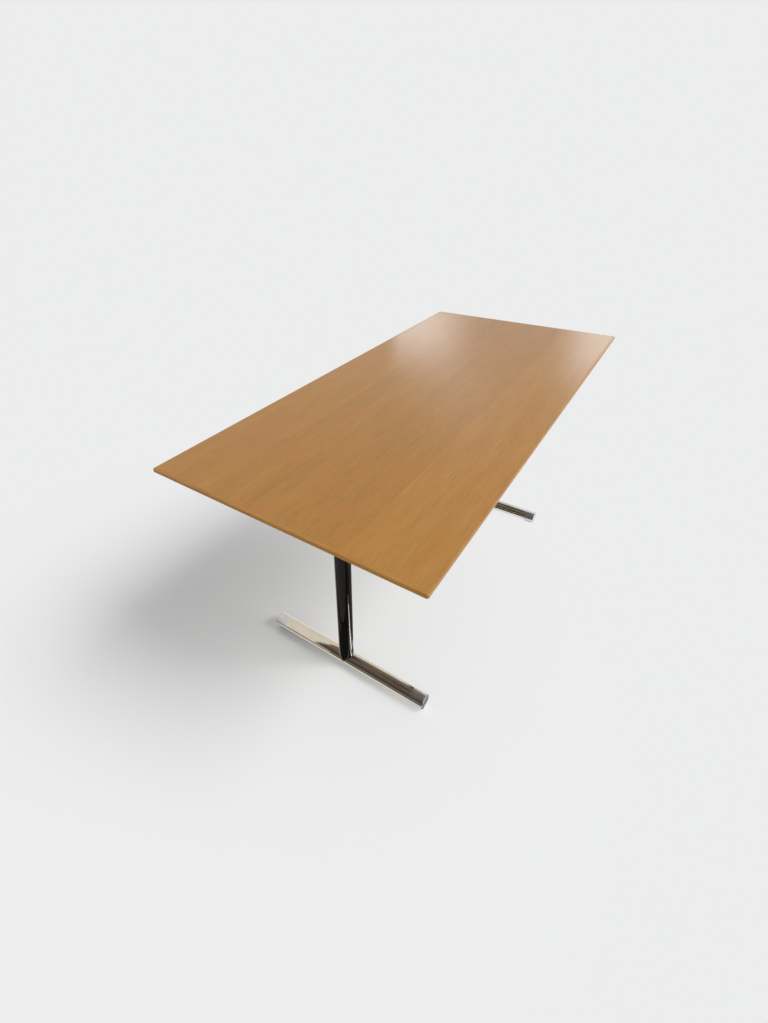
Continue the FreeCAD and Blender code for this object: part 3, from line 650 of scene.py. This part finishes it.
def panel(corner, along, up):
    shape = bmesh.new()
    first = shape.verts.new(corner)
    made = bmesh.ops.extrude_vert_indiv(shape, verts=[first])
    bmesh.ops.translate(shape, vec=along, verts=made["verts"])
    grown = bmesh.ops.extrude_edge_only(shape, edges=made["edges"])["geom"]
    bmesh.ops.translate(shape, vec=up, verts=[item for item in grown if isVert(item)])
    return shape


# Dome cards: parts of a sphere round the desk, by degrees of turn and rise, with a level at the lowest and
# at the highest point. A tilt of 90 lays the sphere's axis along Y.

domeCards = {
    "roomCard": {"turn": (-30.0, 85.0), "rise": (3.0, 72.0), "radius": 5.5, "tilt": 0.0,
                 "colour": (1.0, 0.99, 0.98, 1), "levels": (roomLevel, roomLevel)},
    "darkCard": {"turn": (102.0, 179.5), "rise": (-22.5, 40.0), "radius": 4.0, "tilt": 90.0,
                 "colour": (0.125, 0.1, 0.09, 1), "levels": (0.22, 1.15)},
    "warmCard": {"turn": (60.0, 179.5), "rise": (-34.0, -22.5), "radius": 4.0, "tilt": 90.0,
                 "colour": (0.74, 0.72, 0.67, 1), "levels": (1.0, 1.0)},
}
domeSteps = {"rise": 12, "turn": 24}


def makeDomeCard(name, look):
    shape = bmesh.new()
    low, high = (math.radians(angle) for angle in look["rise"])
    start, end = (math.radians(angle) for angle in look["turn"])
    lay = Matrix.Rotation(math.radians(look["tilt"]), 3, "X")
    first = shape.verts.new((look["radius"] * math.cos(low), 0.0, look["radius"] * math.sin(low)))
    bmesh.ops.spin(shape, geom=[first], cent=(0, 0, 0), axis=(0, -1, 0), angle=high - low,
                   steps=domeSteps["rise"])
    bmesh.ops.rotate(shape, verts=shape.verts[:], cent=(0, 0, 0), matrix=Matrix.Rotation(start, 3, "Z"))
    bmesh.ops.spin(shape, geom=shape.edges[:] + shape.verts[:], cent=(0, 0, 0), axis=(0, 0, 1),
                   angle=end - start, steps=domeSteps["turn"])
    bmesh.ops.rotate(shape, verts=shape.verts[:], cent=(0, 0, 0), matrix=lay)
    heights = [vert.co.z for vert in shape.verts]

    def strength(tree):
        coords = tree.nodes.new("ShaderNodeTexCoord").outputs["Object"]
        place = addNode(tree, "ShaderNodeSeparateXYZ", {0: coords}).outputs
        return remap(tree, place["Z"], min(heights), max(heights), *look["levels"])

    hideFromView(stageObject(name, shape, glowMaterial(name, look["colour"], strength)))


# Panel cards: flat cards that lie on the floor or stand above it, each as a corner and two sides.
# Rays shorter than "beyond" don't see a card.

panelCards = {
    "distantShade": {"corner": (-3.9, -0.9, 0.002), "along": (3.2, 0.0, 0.0), "up": (0.0, 2.5, 0.0),
                     "colour": (0.32, 0.3, 0.27, 1)},
    "outerShade": {"corner": (-0.7, -0.9, 0.002), "along": (0.16, 0.0, 0.0), "up": (0.0, 2.5, 0.0),
                   "colour": (0.06, 0.05, 0.035, 1)},
    "sideShade": {"corner": (-0.54, -0.9, 0.002), "along": (0.18, 0.0, 0.0), "up": (0.0, 0.6, 0.0),
                  "colour": (0.1, 0.09, 0.08, 1)},
    "legShade": {"corner": (-0.466, -0.3, 0.002), "along": (0.106, 0.0, 0.0), "up": (0.0, 0.3, 0.0),
                 "colour": (0.1, 0.09, 0.08, 1)},
    "underShade": {"corner": (-0.36, -0.42, 0.002), "along": (0.8, 0.0, 0.0), "up": (0.0, 0.84, 0.0),
                   "colour": (0.2, 0.18, 0.16, 1)},
    "capShade": {"corner": (-0.54, -0.3, 0.002), "along": (0.07, 0.0, 0.0), "up": (0.0, 0.024, 0.0),
                 "colour": (0.25, 0.24, 0.23, 1)},
    "farShade": {"corner": (0.2, -0.42, 0.003), "along": (0.25, 0.0, 0.0), "up": (0.0, 0.6, 0.0),
                 "colour": (0.04, 0.036, 0.03, 1)},
    "footGleam": {"corner": (-0.535, -0.3, 0.002), "along": (0.0, 0.75, 0.0), "up": (0.0, 0.0, 0.023),
                  "colour": (0.8, 0.77, 0.7, 1)},
    "leftGleam": {"corner": (-0.62, 0.09, 0.002), "along": (0.0, 0.4, 0.0), "up": (0.0, 0.0, 0.033),
                  "colour": (0.56, 0.52, 0.46, 1)},
    "edgeGleam": {"corner": (-0.445, -0.28, 0.002), "along": (0.0, 0.6, 0.0), "up": (0.0, 0.0, 0.038),
                  "colour": (0.95, 0.92, 0.86, 1)},
    "columnGleam": {"corner": (-0.482, -0.27, 0.003), "along": (0.015, 0.0, 0.0), "up": (0.0, 0.25, 0.0),
                    "colour": (25.0, 23.0, 20.0, 1), "beyond": 0.06},
    "kneeCard": {"corner": (1.0, 0.3, 0.02), "along": (0.0, 1.7, 0.0), "up": (0.0, 0.0, 0.78),
                 "colour": (0.75, 0.71, 0.61, 1)},
}
oneBounce = 1.0


def makePanelCard(name, look):
    def mirrorOnly(tree):
        path = tree.nodes.new("ShaderNodeLightPath").outputs
        reached = calc(tree, "GREATER_THAN", path["Ray Length"], look.get("beyond", 0.0))
        return calc(tree, "MULTIPLY", reached, calc(tree, "LESS_THAN", path["Diffuse Depth"], oneBounce))

    shape = panel(look["corner"], look["along"], look["up"])
    hideFromView(stageObject(name, shape, glowMaterial(name, look["colour"], mirrorOnly)))


# Wall with two windows: each pane fades in sideways and out upwards, and is weaker towards its sill

windowWall = {"x": 3.5, "across": (-1.0, 2.13), "rise": (0.7, 3.3), "colour": (0.92, 0.97, 1.0, 1)}
windows = {"left": {"level": 1.85, "acrossFade": (1.1, 1.8), "riseFade": (1.75, 2.3), "sill": (1.3, 1.95)},
           "right": {"level": 2.0, "acrossFade": (0.45, 0.03), "riseFade": (1.65, 2.2), "sill": (1.3, 1.95)}}
sillLevel = 0.5
wallGlow = {"middle": (3.5, 1.25, 2.4), "reach": 0.8, "level": 0.38}


def windowLight(tree):
    coords = tree.nodes.new("ShaderNodeTexCoord").outputs["Object"]
    place = addNode(tree, "ShaderNodeSeparateXYZ", {0: coords}).outputs
    away = distanceFrom(tree, coords, wallGlow["middle"])
    glow = remap(tree, away, 0.0, wallGlow["reach"], wallGlow["level"], 0.0, ease="SMOOTHSTEP")
    light = calc(tree, "ADD", glow, roomLevel)
    for look in windows.values():
        across = remap(tree, place["Y"], *look["acrossFade"], ease="SMOOTHSTEP")
        rise = remap(tree, place["Z"], *look["riseFade"], look["level"], 0.0, ease="SMOOTHSTEP")
        sill = remap(tree, place["Z"], *look["sill"], sillLevel, 1.0, ease="SMOOTHSTEP")
        pane = calc(tree, "MULTIPLY", calc(tree, "MULTIPLY", across, rise), sill)
        light = calc(tree, "ADD", light, pane)
    return light


def makeWindowWall(look):
    left, right = look["across"]
    bottom, top = look["rise"]
    shape = panel((look["x"], left, bottom), (0.0, right - left, 0.0), (0.0, 0.0, top - bottom))
    hideFromView(stageObject("windowWall", shape, glowMaterial("windowWall", look["colour"], windowLight)))


keyLamp = {"aim": (0.0, 0.0, 0.5), "from": (0.21, -0.64, 0.74), "distance": 20.0, "size": (10.0, 10.0),
           "power": 2680.0}


def makeLamp(name, look):
    lamp = bpy.data.lights.new(name, "AREA")
    lamp.shape = "RECTANGLE"
    lamp.size, lamp.size_y = look["size"]
    lamp.energy = look["power"]
    piece = bpy.data.objects.new(name, lamp)
    bpy.context.scene.collection.objects.link(piece)
    aim = Vector(look["aim"])
    place = aim + look["distance"] * Vector(look["from"]).normalized()
    piece.rotation_euler = (aim - place).to_track_quat("-Z", "Y").to_euler()
    piece.location = place
    piece.visible_camera = False


makeWorld(studio)
makeFloor(floorLook)
for cardName, cardLook in domeCards.items():
    makeDomeCard(cardName, cardLook)
for cardName, cardLook in panelCards.items():
    makePanelCard(cardName, cardLook)
makeWindowWall(windowWall)
makeLamp("keyLamp", keyLamp)
print("studio lit")


# Camera: place and turns found from the photograph's edges, for an image of 768 by 1023 pixels

cameraLook = {"place": (-1.2415, -0.5507, 1.3162), "yaw": 36.06, "pitch": 35.554, "roll": 2.0,
              "focalPixels": 476.0, "axisPixel": (344.62, 492.58), "imageSize": (768, 1023), "sensor": 36.0}


def makeCamera(look):
    yaw, pitch, roll = (math.radians(look[turn]) for turn in ("yaw", "pitch", "roll"))
    forward = Vector((math.cos(pitch) * math.cos(yaw), math.cos(pitch) * math.sin(yaw), -math.sin(pitch)))
    right = forward.cross(Vector((0, 0, 1))).normalized()
    down = forward.cross(right)
    turnedRight = math.cos(roll) * right + math.sin(roll) * down
    turnedDown = math.cos(roll) * down - math.sin(roll) * right
    width, height = look["imageSize"]
    axisX, axisY = look["axisPixel"]
    camera = bpy.data.cameras.new("photoCamera")
    camera.sensor_width = look["sensor"]
    camera.lens = look["sensor"] * look["focalPixels"] / height
    camera.shift_x = (width / 2 - axisX) / height
    camera.shift_y = (axisY - height / 2) / height
    piece = bpy.data.objects.new("photoCamera", camera)
    bpy.context.scene.collection.objects.link(piece)
    turn = Matrix((turnedRight, -turnedDown, -forward)).transposed()
    piece.matrix_world = Matrix.Translation(Vector(look["place"])) @ turn.to_4x4()
    bpy.context.scene.camera = piece


makeCamera(cameraLook)
bpy.context.scene.view_settings.view_transform = "Standard"
print("camera set")
